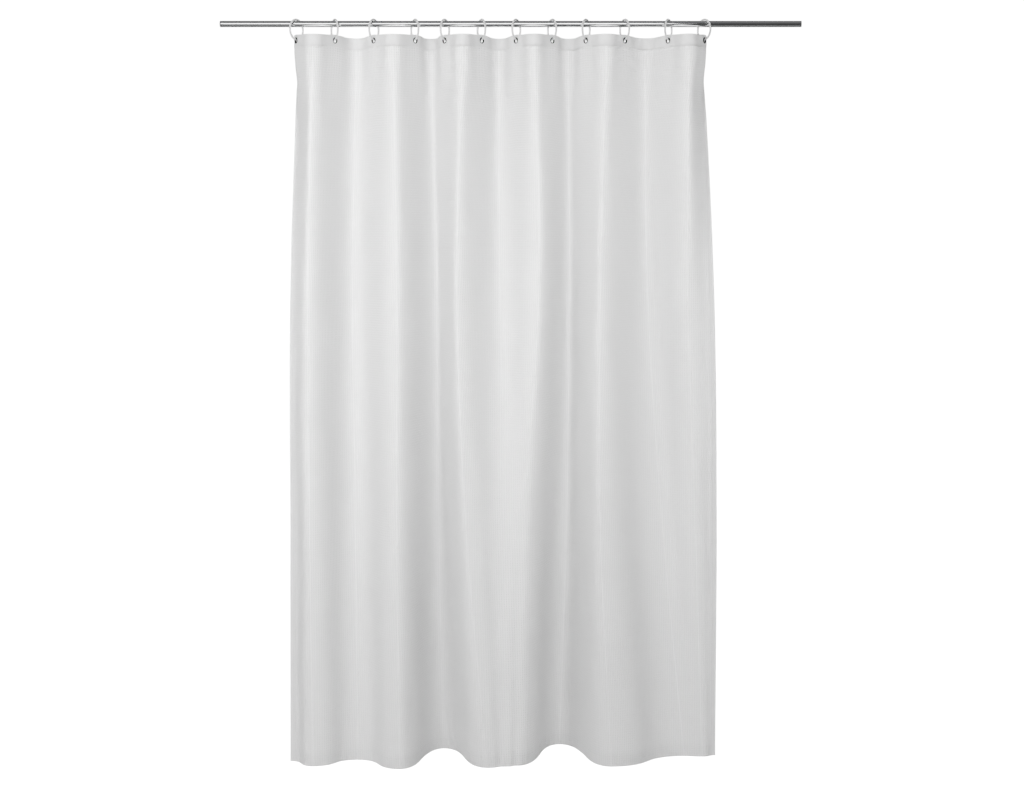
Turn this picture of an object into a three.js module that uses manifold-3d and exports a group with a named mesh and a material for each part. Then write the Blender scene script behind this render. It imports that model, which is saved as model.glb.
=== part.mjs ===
// Shower curtain: a pleated cloth panel that hangs from plastic rings on a straight steel rod.
// Millimetres, +Z up, +X along the rod. The room side is -Y. The origin is the middle of the rod's axis.
// The cloth is never stretched, so each fold is drawn by the tangent angle or the length of the cloth in it.
import * as THREE from "three";
import { mergeVertices } from "three/addons/utils/BufferGeometryUtils.js";
import Module from "manifold-3d";

const wasm = await Module();
wasm.setup();

// ---- rod
const ROD_LENGTH = 1450;
const ROD_R = 8;
const ROD_WALL = 1;
const ROD_SIDES = 24;
const PLUG_HEAD = 2.5; // thickness of the head that closes each end of the tube
const PLUG_SPIGOT = 14; // length pushed into the tube

// ---- rings
const RING_WIRE_R = 2.5;
const RING_MID_R = 25;
const RING_YAW = THREE.MathUtils.degToRad(24); // each ring turns towards the face of the cloth that it carries
const END_RING_YAW = THREE.MathUtils.degToRad(34); // the first and the last ring turn further
const RING_STEPS = 24;
const WIRE_SIDES = 8;

// ---- cloth, as cut
const CLOTH_WIDTH = 1778;
const CLOTH_HEIGHT = 1829;
const SIDE_MARGIN = 50.8; // edge of the cloth to the first eyelet
const HEADER_HEIGHT = 30;
const HEADER_THICK = 1.6;
const PANEL_THICK = 1;

// ---- eyelets, a flanged barrel in front and a washer behind
const EYELET_SIDES = 16;
const EYELET_HOLE_R = 5;
const BARREL_R = 5.5;
const FLANGE_R = 7.5;
const FLANGE_THICK = 0.8;
const LIP_R = 7; // where the flange's rounded rim starts

const GAP = 0.3; // between pieces that touch

// Where the eyelets stand along the rod. The curtain is drawn a little unevenly.
const EYELET_X = [-534, -439, -341, -239, -164, -73, 14, 103, 188, 284, 393, 482];
const EYELET_SLOPE = 0.8; // angle of the cloth to the rod at each eyelet, radians
const END_SLOPE = 1.0; // the same at the first and the last eyelet
const END_REACH = 0.15; // share of a pleat in which the steeper angle fades
const EYELET_FLAT = 9; // the cloth is flat this far to each side of an eyelet
const EYELET_PITCH = (CLOTH_WIDTH - 2 * SIDE_MARGIN) / (EYELET_X.length - 1); // on the flat cloth
const MARGIN_TURN = 0.75; // how much further the side margins turn back, radians
const MARGIN_BEND = 15; // length of cloth in which they turn
// Lengths along one pleat, from eyelet to eyelet, where its faceted outline has a corner.
const PLEAT_STOPS = [EYELET_FLAT, 34, 56, 76.2, 96.4, 118.4, EYELET_PITCH - EYELET_FLAT];
const MARGIN_STOPS = [EYELET_FLAT, 16, 24, SIDE_MARGIN];

// The hem's plan: the left edge, the eleven folds from left to right, and the right edge.
// Folds that stand out towards the room have a negative y. The seventh joins the fifth in one broad fold.
const HEM_FOLDS = [
  [-552, -34], [-491, -93], [-384, -32], [-273, -120], [-169, 80], [-62, -112], [-22, -98],
  [12, -90], [128, 120], [249, -97], [384, 6], [450, -6], [519, 29],
];
const HEM_ROUNDNESS = 0.08; // how much rounder than a cosine the folds are
// How far down the panel each level of corners is, as a share of the panel's height.
const PANEL_LEVELS = [0, 0.06, 0.16, 0.3, 0.46, 0.64, 0.82, 1];

// ---- heights that follow
const RING_CLEAR = (RING_MID_R - RING_WIRE_R) * Math.cos(Math.PI / RING_STEPS); // centre to the inner faces
const RING_Z = ROD_R + GAP - RING_CLEAR; // the ring's centre, hanging on the rod
const HOLE_CLEAR = EYELET_HOLE_R * Math.cos(Math.PI / EYELET_SIDES);
const EYELET_Z = RING_Z - RING_CLEAR + GAP - HOLE_CLEAR; // the hole's top hangs on the ring's wire
const CLOTH_TOP_Z = EYELET_Z + HEADER_HEIGHT / 2;
const SEAM_Z = CLOTH_TOP_Z - HEADER_HEIGHT;
const HEM_Z = CLOTH_TOP_Z - CLOTH_HEIGHT;

const steel = new THREE.MeshStandardMaterial({ color: 0xc9cbcc, roughness: 0.15, metalness: 1 });
const ringPlastic = new THREE.MeshStandardMaterial({ color: 0xe9e9e8, roughness: 0.35, metalness: 0 });
const plugPlastic = new THREE.MeshStandardMaterial({ color: 0x8d9093, roughness: 0.45, metalness: 0 });
const darkMetal = new THREE.MeshStandardMaterial({ color: 0x5d5f62, roughness: 0.4, metalness: 1 });
const headerCloth = new THREE.MeshStandardMaterial({ color: 0xeeeeee, roughness: 0.85, metalness: 0 });
const waffleCloth = new THREE.MeshStandardMaterial({ color: 0xf1f1f1, roughness: 0.95, metalness: 0 });

const curtain = new THREE.Group();

function addPart(name, geometry, material, place = new THREE.Matrix4()) {
  const mesh = new THREE.Mesh(geometry, material);
  mesh.name = name;
  mesh.applyMatrix4(place);
  curtain.add(mesh);
}

const numbered = (word, index) => `${word}_${String(index + 1).padStart(2, "0")}`;

// A closed three.js mesh as a solid that can be cut.
function toSolid(geometry) {
  const bare = geometry.clone();
  bare.deleteAttribute("normal");
  bare.deleteAttribute("uv");
  const merged = mergeVertices(bare);
  return new wasm.Manifold(new wasm.Mesh({
    numProp: 3,
    vertProperties: new Float32Array(merged.attributes.position.array),
    triVerts: new Uint32Array(merged.index.array),
  }));
}

function fromSolid(solid) {
  const mesh = solid.getMesh();
  const geometry = new THREE.BufferGeometry();
  geometry.setAttribute("position", new THREE.BufferAttribute(mesh.vertProperties, 3));
  geometry.setIndex(new THREE.BufferAttribute(mesh.triVerts, 1));
  return geometry;
}

// A profile of [radius, height] points turned about Z, with a flat facing +Y.
function turned(profile, sides) {
  const points = profile.map(([r, h]) => new THREE.Vector2(r, h));
  return new THREE.LatheGeometry(points, sides, Math.PI / sides).rotateX(Math.PI / 2);
}

// ---- the plan of the pleats at the header

// Tangent angle of the cloth at share v of a pleat: the given slope at both eyelets, level at the crest,
// and steepest in between. It is steeper still beside the first and the last eyelet.
function pleatAngle(pleat, swing, v) {
  const extra = (share) => (END_SLOPE - EYELET_SLOPE) * Math.exp(-((share / END_REACH) ** 2));
  const start = pleat === 0 ? extra(v) : 0;
  const end = pleat === EYELET_X.length - 2 ? extra(1 - v) : 0;
  return swing * Math.cos(Math.PI * v) + (EYELET_SLOPE - swing) * Math.cos(3 * Math.PI * v) + start - end;
}

// Follows a tangent angle for a length of cloth, and gives the point reached: [along the rod, across it].
function follow(angleAt, from, to) {
  const steps = 40;
  const point = [0, 0];
  for (let k = 0; k < steps; k++) {
    const angle = angleAt(from + ((to - from) * (k + 0.5)) / steps);
    point[0] += (Math.cos(angle) * (to - from)) / steps;
    point[1] += (Math.sin(angle) * (to - from)) / steps;
  }
  return point;
}

// The swing of angle that makes a pleat of cloth reach from its first eyelet to its second.
function swingForPleat(pleat) {
  const span = EYELET_X[pleat + 1] - EYELET_X[pleat];
  let low = 0.8;
  let high = 2;
  for (let k = 0; k < 30; k++) {
    const swing = (low + high) / 2;
    const reached = follow((s) => pleatAngle(pleat, swing, s / EYELET_PITCH), 0, EYELET_PITCH)[0];
    if (reached > span) low = swing;
    else high = swing;
  }
  return (low + high) / 2;
}

// Tangent angle of a side margin, at a length from its eyelet.
function marginAngle(s) {
  const past = THREE.MathUtils.clamp((s - EYELET_FLAT) / MARGIN_BEND, 0, 1);
  return END_SLOPE + MARGIN_TURN * Math.sin((Math.PI / 2) * past);
}

// Each corner is { phase, x, y }. A phase counts folds: 0 is the left edge, 1 to 11 are the folds' crests,
// 12 is the right edge, and the eyelets lie between.
function headerPlan() {
  const corners = [];
  const first = EYELET_X[0];
  const last = EYELET_X[EYELET_X.length - 1];
  for (const s of [...MARGIN_STOPS].reverse()) {
    const [along, across] = follow(marginAngle, 0, s);
    corners.push({ phase: 0.5 * (1 - s / SIDE_MARGIN), x: first - along, y: across });
  }
  for (let i = 0; i + 1 < EYELET_X.length; i++) {
    const swing = swingForPleat(i);
    const side = i % 2 === 0 ? -1 : 1; // the first pleat stands out towards the room
    const angleAt = (t) => pleatAngle(i, swing, t / EYELET_PITCH);
    const miss = follow(angleAt, 0, EYELET_PITCH)[1]; // how far off the rod's line the pleat would end
    for (const s of PLEAT_STOPS) {
      const [along, across] = follow(angleAt, 0, s);
      const share = s / EYELET_PITCH;
      corners.push({ phase: i + 0.5 + share, x: EYELET_X[i] + along, y: side * (across - miss * share) });
    }
  }
  for (const s of MARGIN_STOPS) {
    const [along, across] = follow(marginAngle, 0, s);
    corners.push({ phase: 11.5 + (0.5 * s) / SIDE_MARGIN, x: last + along, y: across });
  }
  return corners;
}

// ---- the plan of the folds at the hem

// A point of the hem at a phase: y goes from crest to crest as a cosine, and x runs ahead near the crests.
function hemPoint(phase) {
  const k = Math.min(Math.floor(phase), HEM_FOLDS.length - 2);
  const v = phase - k;
  const [x0, y0] = HEM_FOLDS[k];
  const [x1, y1] = HEM_FOLDS[k + 1];
  return [
    x0 + (x1 - x0) * (v + HEM_ROUNDNESS * Math.sin(2 * Math.PI * v)),
    y0 + ((y1 - y0) * (1 - Math.cos(Math.PI * v))) / 2,
  ];
}

function planLength(plan) {
  let length = 0;
  for (let k = 1; k < plan.length; k++) {
    length += Math.hypot(plan[k][0] - plan[k - 1][0], plan[k][1] - plan[k - 1][1]);
  }
  return length;
}

// The plan at a share of the way down: the header's, blended into the hem's, with its depth set so that
// the cloth keeps its width.
function planAt(header, down) {
  const blend = Math.pow(down, 0.8);
  const mixed = header.map(({ phase, x, y }) => {
    const [hemX, hemY] = hemPoint(phase);
    return [x + (hemX - x) * blend, y + (hemY - y) * blend];
  });
  const width = planLength(header.map(({ x, y }) => [x, y]));
  let low = 0.5;
  let high = 2;
  for (let k = 0; k < 30; k++) {
    const depth = (low + high) / 2;
    if (planLength(mixed.map(([x, y]) => [x, y * depth])) < width) low = depth;
    else high = depth;
  }
  return mixed.map(([x, y]) => [x, (y * (low + high)) / 2]);
}

// The plan moved half a thickness to one side, square to the cloth at each corner.
function offsetPlan(plan, distance) {
  return plan.map(([x, y], k) => {
    const before = plan[Math.max(k - 1, 0)];
    const after = plan[Math.min(k + 1, plan.length - 1)];
    const back = new THREE.Vector2(x - before[0], y - before[1]).normalize();
    const ahead = new THREE.Vector2(after[0] - x, after[1] - y).normalize();
    const along = back.add(ahead).normalize();
    const start = k === 0 ? ahead : new THREE.Vector2(x - before[0], y - before[1]).normalize();
    const miter = Math.max(along.dot(start), 0.5);
    return [x - (along.y * distance) / miter, y + (along.x * distance) / miter];
  });
}

// ---- rod

function buildRod() {
  const tubeLength = ROD_LENGTH - 2 * (PLUG_HEAD + GAP);
  const half = tubeLength / 2;
  const bore = ROD_R - ROD_WALL;
  const alongX = new THREE.Matrix4().makeRotationY(Math.PI / 2);
  const wall = [[bore, -half], [ROD_R, -half], [ROD_R, half], [bore, half], [bore, -half]];
  addPart("rod_tube", turned(wall, ROD_SIDES), steel, alongX);

  const spigotR = bore - GAP;
  const plug = [
    [0, -PLUG_SPIGOT], [spigotR, -PLUG_SPIGOT], [spigotR, GAP], [ROD_R, GAP],
    [ROD_R, GAP + PLUG_HEAD], [0, GAP + PLUG_HEAD],
  ];
  for (const [name, side] of [["rod_plug_left", -1], ["rod_plug_right", 1]]) {
    const place = new THREE.Matrix4().makeTranslation(side * half, 0, 0);
    place.multiply(new THREE.Matrix4().makeRotationY((side * Math.PI) / 2));
    addPart(name, turned(plug, ROD_SIDES), plugPlastic, place);
  }
}

// ---- rings and eyelets

// Each ring stands across the rod and turns a little towards the cloth's own face, one way and then the other.
function buildRing(index) {
  const atEnd = index === 0 || index === EYELET_X.length - 1;
  const turn = atEnd ? END_RING_YAW : RING_YAW;
  const yaw = index % 2 === 0 ? -turn : turn;
  const place = new THREE.Matrix4().makeTranslation(EYELET_X[index], 0, RING_Z);
  place.multiply(new THREE.Matrix4().makeRotationZ(yaw));
  place.multiply(new THREE.Matrix4().makeRotationY(Math.PI / 2));
  const torus = new THREE.TorusGeometry(RING_MID_R, RING_WIRE_R, WIRE_SIDES, RING_STEPS);
  torus.rotateZ(Math.PI / RING_STEPS); // a straight length of wire at the top and at the foot
  addPart(numbered("ring", index), torus, ringPlastic, place);
}

// Stands at an eyelet with its local Z square to the cloth, pointing to the room side.
function eyeletPlace(header, index) {
  const from = header.findIndex(({ phase }) => phase > index + 0.5) - 1;
  const a = header[from];
  const b = header[from + 1];
  const along = new THREE.Vector3(b.x - a.x, b.y - a.y, 0).normalize();
  const out = new THREE.Vector3(along.y, -along.x, 0);
  const basis = new THREE.Matrix4().makeBasis(new THREE.Vector3().crossVectors(new THREE.Vector3(0, 0, 1), out),
    new THREE.Vector3(0, 0, 1), out);
  return new THREE.Matrix4().makeTranslation((a.x + b.x) / 2, (a.y + b.y) / 2, EYELET_Z).multiply(basis);
}

function buildEyelet(index, place) {
  const face = HEADER_THICK / 2 + GAP;
  const back = face + FLANGE_THICK;
  const front = [
    [EYELET_HOLE_R, -back], [BARREL_R, -back], [BARREL_R, face], [FLANGE_R, face],
    [LIP_R, back], [EYELET_HOLE_R, back], [EYELET_HOLE_R, -back],
  ];
  const inner = BARREL_R + GAP;
  const washer = [[inner, -back], [LIP_R, -back], [FLANGE_R, -face], [inner, -face], [inner, -back]];
  addPart(numbered("eyelet_front", index), turned(front, EYELET_SIDES), darkMetal, place);
  addPart(numbered("eyelet_washer", index), turned(washer, EYELET_SIDES), darkMetal, place);
}

// ---- cloth

// The doubled strip along the top edge, with a hole for each eyelet's barrel.
function buildHeader(header, places) {
  const plan = header.map(({ x, y }) => [x, y]);
  const outline = [...offsetPlan(plan, -HEADER_THICK / 2), ...offsetPlan(plan, HEADER_THICK / 2).reverse()];
  const shape = new THREE.Shape(outline.map(([x, y]) => new THREE.Vector2(x, y)));
  const strip = new THREE.ExtrudeGeometry(shape, { depth: HEADER_HEIGHT, bevelEnabled: false });
  let solid = toSolid(strip.translate(0, 0, SEAM_Z));
  for (const place of places) {
    const punch = new THREE.CylinderGeometry(BARREL_R + GAP, BARREL_R + GAP, 4 * HEADER_THICK, EYELET_SIDES);
    solid = solid.subtract(toSolid(punch.rotateX(Math.PI / 2).applyMatrix4(place)));
  }
  addPart("header_band", fromSolid(solid), headerCloth);
}

// The panel is a sheet lofted through its levels, with a room face, a bath face and four edges.
function buildPanel(header) {
  const top = SEAM_Z - GAP;
  const positions = [];
  for (const level of PANEL_LEVELS) {
    const plan = planAt(header, level);
    const z = top + (HEM_Z - top) * level;
    for (const distance of [-PANEL_THICK / 2, PANEL_THICK / 2]) {
      for (const [x, y] of offsetPlan(plan, distance)) positions.push(x, y, z);
    }
  }
  const columns = header.length;
  const rows = PANEL_LEVELS.length;
  const at = (row, side, column) => (2 * row + side) * columns + column;
  const triangles = [];
  const quad = (a, b, c, d) => triangles.push(a, b, c, a, c, d);
  for (let row = 0; row + 1 < rows; row++) {
    for (let column = 0; column + 1 < columns; column++) {
      quad(at(row, 0, column), at(row + 1, 0, column), at(row + 1, 0, column + 1), at(row, 0, column + 1));
      quad(at(row, 1, column), at(row, 1, column + 1), at(row + 1, 1, column + 1), at(row + 1, 1, column));
    }
    quad(at(row, 0, 0), at(row, 1, 0), at(row + 1, 1, 0), at(row + 1, 0, 0));
    const end = columns - 1;
    quad(at(row, 0, end), at(row + 1, 0, end), at(row + 1, 1, end), at(row, 1, end));
  }
  for (let column = 0; column + 1 < columns; column++) {
    const bottom = rows - 1;
    quad(at(0, 0, column), at(0, 0, column + 1), at(0, 1, column + 1), at(0, 1, column));
    quad(at(bottom, 0, column), at(bottom, 1, column), at(bottom, 1, column + 1), at(bottom, 0, column + 1));
  }
  const geometry = new THREE.BufferGeometry();
  geometry.setAttribute("position", new THREE.Float32BufferAttribute(positions, 3));
  geometry.setIndex(triangles);
  addPart("curtain_panel", geometry, waffleCloth);
}

const header = headerPlan();
const places = EYELET_X.map((_, index) => eyeletPlace(header, index));
buildRod();
EYELET_X.forEach((_, index) => buildRing(index));
places.forEach((place, index) => buildEyelet(index, place));
buildHeader(header, places);
buildPanel(header);

export default curtain;
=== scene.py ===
"""Shower curtain: waffle cloth with a plain header, hung in pleats from twelve plastic rings on a steel rod.

Metres, +Z up, +X along the rod, and the room is on the -Y side. The places of the rod, the rings and the
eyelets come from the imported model. The cloth is one surface, cut flat and laid in folds without stretching.
"""

import logging
import math
from dataclasses import dataclass, field
from enum import Enum
from typing import Optional, Sequence, Union

import bpy
import numpy as np
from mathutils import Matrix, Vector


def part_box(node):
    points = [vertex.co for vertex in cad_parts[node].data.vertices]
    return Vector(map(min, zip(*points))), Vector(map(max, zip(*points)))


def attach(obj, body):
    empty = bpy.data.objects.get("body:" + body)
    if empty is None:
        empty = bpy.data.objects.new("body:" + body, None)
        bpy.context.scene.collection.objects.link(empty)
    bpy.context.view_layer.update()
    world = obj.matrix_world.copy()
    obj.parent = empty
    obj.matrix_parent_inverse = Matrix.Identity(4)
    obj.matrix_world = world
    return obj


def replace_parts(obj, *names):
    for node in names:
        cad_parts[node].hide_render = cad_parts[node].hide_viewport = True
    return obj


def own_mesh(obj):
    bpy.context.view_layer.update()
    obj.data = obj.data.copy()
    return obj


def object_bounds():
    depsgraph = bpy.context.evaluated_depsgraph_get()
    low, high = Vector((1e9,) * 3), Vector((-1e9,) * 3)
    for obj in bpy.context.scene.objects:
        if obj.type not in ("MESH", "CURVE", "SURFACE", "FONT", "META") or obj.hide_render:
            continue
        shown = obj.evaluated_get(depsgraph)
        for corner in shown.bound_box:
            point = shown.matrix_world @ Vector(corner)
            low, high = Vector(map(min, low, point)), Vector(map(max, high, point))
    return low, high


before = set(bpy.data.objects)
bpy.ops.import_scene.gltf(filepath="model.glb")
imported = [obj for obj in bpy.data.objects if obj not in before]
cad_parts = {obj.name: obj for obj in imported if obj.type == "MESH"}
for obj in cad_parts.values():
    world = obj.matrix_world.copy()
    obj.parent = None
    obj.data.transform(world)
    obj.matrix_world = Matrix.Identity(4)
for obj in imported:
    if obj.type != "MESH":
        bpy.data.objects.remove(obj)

CAD_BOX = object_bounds()
MM = 0.001
RING_COUNT = 12
CLOTH_SHARP_DEGREES = 60.0
log = logging.getLogger("shower_curtain")

Array = np.ndarray
Socket = bpy.types.NodeSocket
Value = Union[Socket, float, tuple]


# ---------------------------------------------------------------- arrays


def ease(value: Array) -> Array:
    """Zero below 0, one above 1, and between them 3 t squared less 2 t cubed."""
    t = np.clip(value, 0.0, 1.0)
    return t * t * (3.0 - 2.0 * t)


def bell(distance: Array, width: float) -> Array:
    """One at no distance, falling off smoothly to both sides: e to the minus (distance / width) squared."""
    return np.exp(-((distance / width) ** 2))


def smooth_through(stations: Array, values: Array, at: Array) -> Array:
    """Reads a smooth curve that passes through values at stations.

    Each stretch is a cubic. Its slope at a station is the mean of the two straight slopes beside it, each
    weighted by the length of the other stretch.

    Args:
        stations: rising places, shape (n,).
        values: the values there, shape (..., n).
        at: the places to read, shape (m,).

    Returns:
        The values read, shape (..., m).
    """
    gap = np.diff(stations)
    rise = np.diff(values, axis=-1) / gap
    inner = (rise[..., :-1] * gap[1:] + rise[..., 1:] * gap[:-1]) / (gap[:-1] + gap[1:])
    slope = np.concatenate([rise[..., :1], inner, rise[..., -1:]], axis=-1)
    k = np.clip(np.searchsorted(stations, at, side="right") - 1, 0, len(gap) - 1)
    t = (at - stations[k]) / gap[k]
    start = (1.0 + 2.0 * t) * (1.0 - t) ** 2 * values[..., k]
    end = t * t * (3.0 - 2.0 * t) * values[..., k + 1]
    bend = gap[k] * (t * (1.0 - t) ** 2 * slope[..., k] - t * t * (1.0 - t) * slope[..., k + 1])
    return start + end + bend


def running_total(values: Array) -> Array:
    """Adds values up along the last axis, starting from zero."""
    zero = np.zeros(values.shape[:-1] + (1,))
    return np.concatenate([zero, np.cumsum(values, axis=-1)], axis=-1)


# ---------------------------------------------------------------- meshes


@dataclass
class Shell:
    """The points and faces of a surface on its way to becoming a mesh.

    Flat holds each point's place on the flat cloth, for surfaces that are cloth.
    """

    points: Array
    faces: list
    flat: Optional[Array] = None

    def build(self, name: str, sharp_degrees: float = 40.0) -> bpy.types.Object:
        """Makes the object, at the origin, smooth except across sharp edges.

        Args:
            name: the piece's name.
            sharp_degrees: edges that turn more than this stay sharp.

        Returns:
            The new object.
        """
        mesh = bpy.data.meshes.new(name)
        mesh.from_pydata(self.points.reshape(-1, 3), [], self.faces)
        if self.flat is not None:
            layer = mesh.uv_layers.new(name="flat_cloth")
            corners = np.empty(len(mesh.loops), dtype=np.int32)
            mesh.loops.foreach_get("vertex_index", corners)
            layer.uv.foreach_set("vector", self.flat.reshape(-1, 2)[corners].astype(np.float32).ravel())
        mesh.polygons.foreach_set("use_smooth", np.ones(len(mesh.polygons), dtype=bool))
        mesh.update()
        mesh.set_sharp_from_angle(angle=math.radians(sharp_degrees))
        piece = bpy.data.objects.new(name, mesh)
        bpy.context.scene.collection.objects.link(piece)
        return piece


def grid_faces(rows: int, columns: int, wrap_rows: bool, wrap_columns: bool) -> Array:
    """The quads of a grid of points, as indices.

    Quad (r, c) joins point (r, c) to (r + 1, c), (r + 1, c + 1) and (r, c + 1), and a wrapped direction
    joins its last line of points to its first.

    Args:
        rows: lines of points.
        columns: points in a line.
        wrap_rows: whether the last line meets the first.
        wrap_columns: whether each line closes on itself.

    Returns:
        Indices, shape (quads, 4).
    """
    quad_rows = rows if wrap_rows else rows - 1
    quad_columns = columns if wrap_columns else columns - 1
    r, c = np.meshgrid(np.arange(quad_rows), np.arange(quad_columns), indexing="ij")
    below, beside = (r + 1) % rows, (c + 1) % columns
    corners = [r * columns + c, below * columns + c, below * columns + beside, r * columns + beside]
    return np.stack(corners, axis=-1).reshape(-1, 4)


def slab(front: Array, back: Array, flat: Array, cells: Optional[Array] = None) -> Shell:
    """A sheet with two faces and a wall wherever a cell that is kept meets one that is cut away or the edge.

    Args:
        front: the room face, shape (rows, columns, 3), rows downwards and columns to the right.
        back: the other face, in the same order.
        flat: the flat-cloth place of each point, shape (rows, columns, 2).
        cells: which cells are kept, shape (rows - 1, columns - 1).

    Returns:
        The closed shell.
    """
    rows, columns = front.shape[:2]
    if cells is None:
        cells = np.ones((rows - 1, columns - 1), dtype=bool)
    index = np.arange(rows * columns).reshape(rows, columns)
    behind = index + rows * columns
    face = grid_faces(rows, columns, False, False)[cells.ravel()]
    parts = [face, face[:, ::-1] + rows * columns]

    framed = np.pad(cells, 1).astype(int)
    side = framed[1:-1, 1:] - framed[1:-1, :-1]
    level = framed[1:, 1:-1] - framed[:-1, 1:-1]
    for mark, flip in ((1, False), (-1, True)):
        r, c = np.nonzero(side == mark)
        wall = np.stack([index[r, c], behind[r, c], behind[r + 1, c], index[r + 1, c]], axis=-1)
        parts.append(wall[:, ::-1] if flip else wall)
        r, c = np.nonzero(level == mark)
        wall = np.stack([index[r, c], index[r, c + 1], behind[r, c + 1], behind[r, c]], axis=-1)
        parts.append(wall[:, ::-1] if flip else wall)
    quads = np.concatenate(parts)

    points = np.concatenate([front.reshape(-1, 3), back.reshape(-1, 3)])
    places = np.concatenate([flat.reshape(-1, 2)] * 2)
    used = np.unique(quads)
    renumber = np.zeros(len(points), dtype=int)
    renumber[used] = np.arange(len(used))
    return Shell(points[used], renumber[quads].tolist(), places[used])


def carried_round(profile: Array, sides: int, centre: Array, axis: Array) -> Array:
    """The points of a profile carried round an axis.

    The point at angle a is centre + height * axis + radius * (cos a * u + sin a * w), where u, w and the
    axis are square to each other.

    Args:
        profile: (radius, height) points.
        sides: steps round the axis.
        centre: where height is zero.
        axis: the axis, of length one.

    Returns:
        The points, shape (sides, points of the profile, 3).
    """
    u, w = square_to(axis)
    angle = np.arange(sides) * (2.0 * np.pi / sides)
    round_axis = np.cos(angle)[:, None] * u + np.sin(angle)[:, None] * w
    return centre + profile[None, :, 1:] * axis + profile[None, :, :1] * round_axis[:, None, :]


def turned_ring(profile: Array, sides: int, centre: Array, axis: Array) -> Shell:
    """A closed profile carried round an axis.

    Args:
        profile: (radius, height) points of a closed outline, anticlockwise with the radius to the right.
        sides: steps round the axis.
        centre: where height is zero.
        axis: the axis, of length one.

    Returns:
        The closed shell, with its faces outwards.
    """
    points = carried_round(profile, sides, centre, axis)
    return Shell(points, grid_faces(sides, len(profile), True, True).tolist())


def turned_solid(profile: Array, sides: int, centre: Array, axis: Array) -> Shell:
    """A profile from pole to pole carried round an axis, with each pole one point.

    Args:
        profile: (radius, height) points with rising height; the first and last have no radius.
        sides: steps round the axis.
        centre: where height is zero.
        axis: the axis, of length one.

    Returns:
        The closed shell, with its faces outwards.
    """
    body = profile[1:-1]
    points = carried_round(body, sides, centre, axis)
    poles = centre + profile[[0, -1], 1:] * axis
    quads = grid_faces(sides, len(body), True, False)
    first = np.arange(sides) * len(body)
    last = first + len(body) - 1
    low = np.full(sides, sides * len(body))
    fan_low = np.stack([low, np.roll(first, -1), first], axis=-1)
    fan_high = np.stack([low + 1, last, np.roll(last, -1)], axis=-1)
    faces = quads.tolist() + fan_low.tolist() + fan_high.tolist()
    return Shell(np.concatenate([points.reshape(-1, 3), poles]), faces)


def square_to(axis: Array) -> tuple:
    """Two unit vectors u and w square to an axis and to each other, with u x w along it."""
    up = np.array([0.0, 0.0, 1.0]) if abs(axis[2]) < 0.9 else np.array([1.0, 0.0, 0.0])
    u = np.cross(up, axis)
    u = u / np.linalg.norm(u)
    return u, np.cross(axis, u)


def arc(centre: tuple, radius: float, start: float, end: float, steps: int) -> Array:
    """Points of a circular arc in a profile.

    Args:
        centre: (radius, height) of the arc's centre.
        radius: the arc's own radius.
        start: first angle, in degrees from the outward direction.
        end: last angle.
        steps: how many points.

    Returns:
        Shape (steps, 2).
    """
    angle = np.radians(np.linspace(start, end, steps))
    return np.stack([centre[0] + radius * np.cos(angle), centre[1] + radius * np.sin(angle)], axis=-1)


def middle_of(node: str) -> Array:
    """The middle of a CAD node's box."""
    low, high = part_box(node)
    return (np.array(low) + np.array(high)) / 2.0


# ---------------------------------------------------------------- finishes


class Nodes:
    """A material's node tree, with short calls that add nodes and join them."""

    def __init__(self, name: str) -> None:
        """Starts a material of this name with a plain principled shader."""
        self.material = bpy.data.materials.new(name)
        self.material.use_nodes = True
        self.tree = self.material.node_tree
        self.shader = next(n for n in self.tree.nodes if n.type == "BSDF_PRINCIPLED")

    def feed(self, socket: Socket, value: Value) -> None:
        """Sets a socket, or joins another node's output to it."""
        if isinstance(value, bpy.types.NodeSocket):
            self.tree.links.new(value, socket)
        else:
            socket.default_value = value

    def add(self, kind: str, inputs: Optional[dict] = None, **settings: object) -> bpy.types.Node:
        """Adds a node.

        Args:
            kind: the node's type in Blender.
            inputs: values or outputs for its sockets, by name or number.
            settings: the node's own settings.

        Returns:
            The node.
        """
        node = self.tree.nodes.new(kind)
        for key, value in settings.items():
            setattr(node, key, value)
        for key, value in (inputs or {}).items():
            self.feed(node.inputs[key], value)
        return node

    def sum(self, kind: str, *values: Value) -> Socket:
        """One step of arithmetic on numbers."""
        node = self.add("ShaderNodeMath", dict(enumerate(values)), operation=kind)
        return node.outputs[0]

    def noise(self, where: Socket, scale: float, detail: float = 2.0) -> Socket:
        """Soft noise, from 0 to 1."""
        inputs = {"Vector": where, "Scale": scale, "Detail": detail}
        return self.add("ShaderNodeTexNoise", inputs).outputs["Fac"]

    def stretched(self, where: Socket, scale: tuple) -> Socket:
        """A place, multiplied along each axis."""
        return self.add("ShaderNodeMapping", {"Vector": where, "Scale": scale}).outputs[0]

    def band(self, value: Socket, from_low: float, from_high: float, low: float, high: float) -> Socket:
        """Carries a number from one range to another, and stops at the ends."""
        inputs = {0: value, 1: from_low, 2: from_high, 3: low, 4: high}
        return self.add("ShaderNodeMapRange", inputs, clamp=True).outputs[0]

    def blend(self, amount: Socket, first: Value, second: Value) -> Socket:
        """A colour between two others."""
        node = self.add("ShaderNodeMix", data_type="RGBA")
        self.feed(node.inputs["Factor"], amount)
        self.feed(node.inputs[6], first)
        self.feed(node.inputs[7], second)
        return node.outputs[2]

    def bump(self, height: Socket, distance: float, under: Optional[Socket] = None) -> Socket:
        """A normal from a height, over another normal if one is given."""
        node = self.add("ShaderNodeBump", {"Height": height, "Distance": distance, "Strength": 1.0})
        if under is not None:
            self.feed(node.inputs["Normal"], under)
        return node.outputs[0]

    def finish(self, inputs: dict) -> bpy.types.Material:
        """Sets the shader's sockets and gives the material."""
        for key, value in inputs.items():
            self.feed(self.shader.inputs[key], value)
        return self.material


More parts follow.
